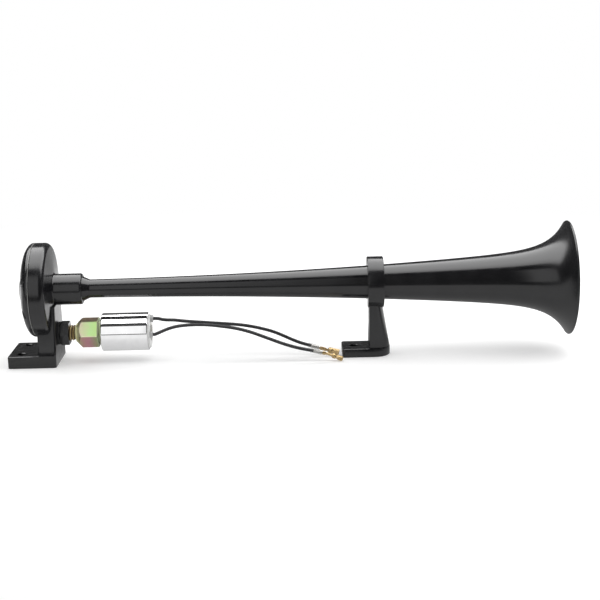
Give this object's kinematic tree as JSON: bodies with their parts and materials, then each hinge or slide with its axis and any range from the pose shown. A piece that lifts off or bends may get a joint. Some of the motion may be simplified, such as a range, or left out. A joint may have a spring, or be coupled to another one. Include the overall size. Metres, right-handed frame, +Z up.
{
  "type": "solenoid air horn",
  "caption": "Single-trumpet air horn with a flared bell, cast bracket feet, diaphragm housing and an in-line solenoid valve with two wired leads.",
  "frame": {"origin": "on the mounting surface, midway between the two bolt holes of the rear foot", "axes": "+X along the trumpet towards the bell's mouth, +Z up from the mounting surface, +Y to the left of someone who looks along +X"},
  "size_m": [0.4317, 0.0876, 0.1006],
  "materials": {
    "black_paint": "semi-gloss black paint over cast and spun metal",
    "black_screw": "blackened steel",
    "black_nut": "gloss black plated steel",
    "black_rubber": "matt",
    "spring_steel": "bright rolled",
    "soft_iron": "turned",
    "yellow_zinc": "yellow passivated zinc plate, iridescent",
    "brass_tube": "drawn",
    "terminal_brass": "stamped and rolled, bright",
    "copper_wire": "enamelled copper",
    "chrome_plate": "mirror",
    "white_nylon": "moulded",
    "grommet_nylon": "moulded",
    "lead_insulation": "soft PVC",
    "clear_sleeve": "clear soft PVC"
  },
  "bodies": {
    "horn": {"horn_housing": "black_paint", "rear_cover": "black_paint", "cover_screws": "black_screw", "rear_gasket": "black_rubber", "front_gasket": "black_rubber", "diaphragm": "spring_steel", "trumpet": "black_paint", "bell": "black_paint", "trumpet_seal": "black_rubber", "front_bracket": "black_paint", "bracket_lock_screw": "black_screw", "inlet_washer": "black_rubber", "lock_nut": "black_nut", "valve_body": "yellow_zinc", "tube_o_ring": "black_rubber", "guide_tube": "brass_tube", "return_spring": "spring_steel", "fixed_core": "soft_iron", "coil_bobbin": "white_nylon", "coil_winding": "copper_wire", "flux_washer": "soft_iron", "solenoid_can": "chrome_plate", "end_cap": "white_nylon", "wire_grommets": "grommet_nylon", "wire_upper": "lead_insulation", "wire_lower": "lead_insulation", "sleeve_upper": "clear_sleeve", "sleeve_lower": "clear_sleeve", "terminal_female": "terminal_brass", "terminal_male": "terminal_brass"},
    "armature": {"plunger": "soft_iron", "plunger_seal": "black_rubber"}
  },
  "joints": [
    {"name": "plunger_slide", "type": "slide", "parent": "horn", "child": "armature", "axis": [1, 0, 0], "range_m": [0, 0.0018], "stiffness_N_per_m": 450, "springref_m": -0.003, "deforming": ["return_spring"]}
  ]
}
